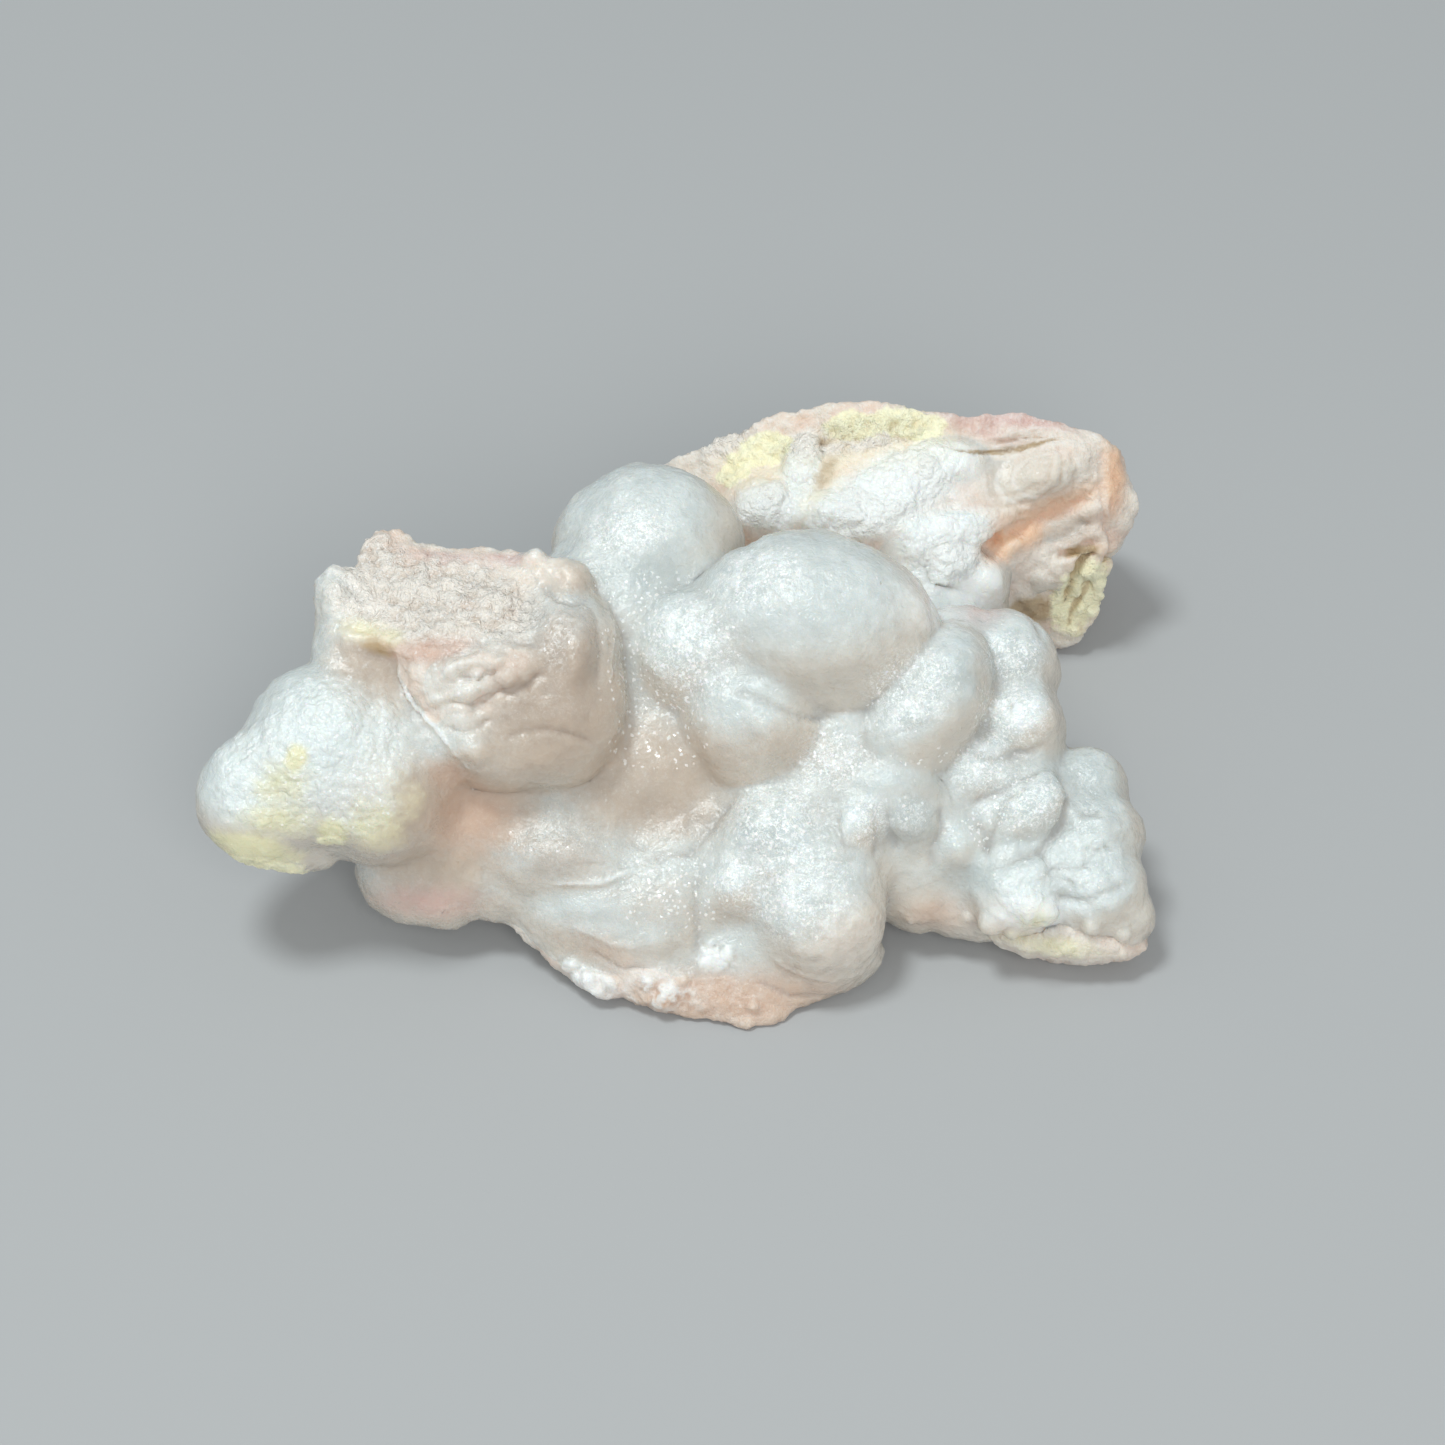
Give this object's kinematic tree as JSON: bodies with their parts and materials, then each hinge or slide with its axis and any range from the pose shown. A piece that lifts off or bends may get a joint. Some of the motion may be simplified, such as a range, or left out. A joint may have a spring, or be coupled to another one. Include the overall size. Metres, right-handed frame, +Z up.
{
  "type": "mineral specimen",
  "caption": "Botryoidal pink opal: a natural stone of fused round lobes, with a broken cap, a low wing and a broken block behind.",
  "frame": {"origin": "middle of the bounding box, on the plane that the stone lies on", "axes": "+Z up from the resting plane, +X along the length towards the low wing, +Y away from the pictured side"},
  "size_m": [0.0488, 0.0358, 0.0182],
  "materials": {
    "pink_opal": "translucent pale pink and bluish white, satin, with a fine sugary sparkle"
  },
  "bodies": {
    "root": {"pink_opal": "pink_opal"}
  },
  "joints": []
}
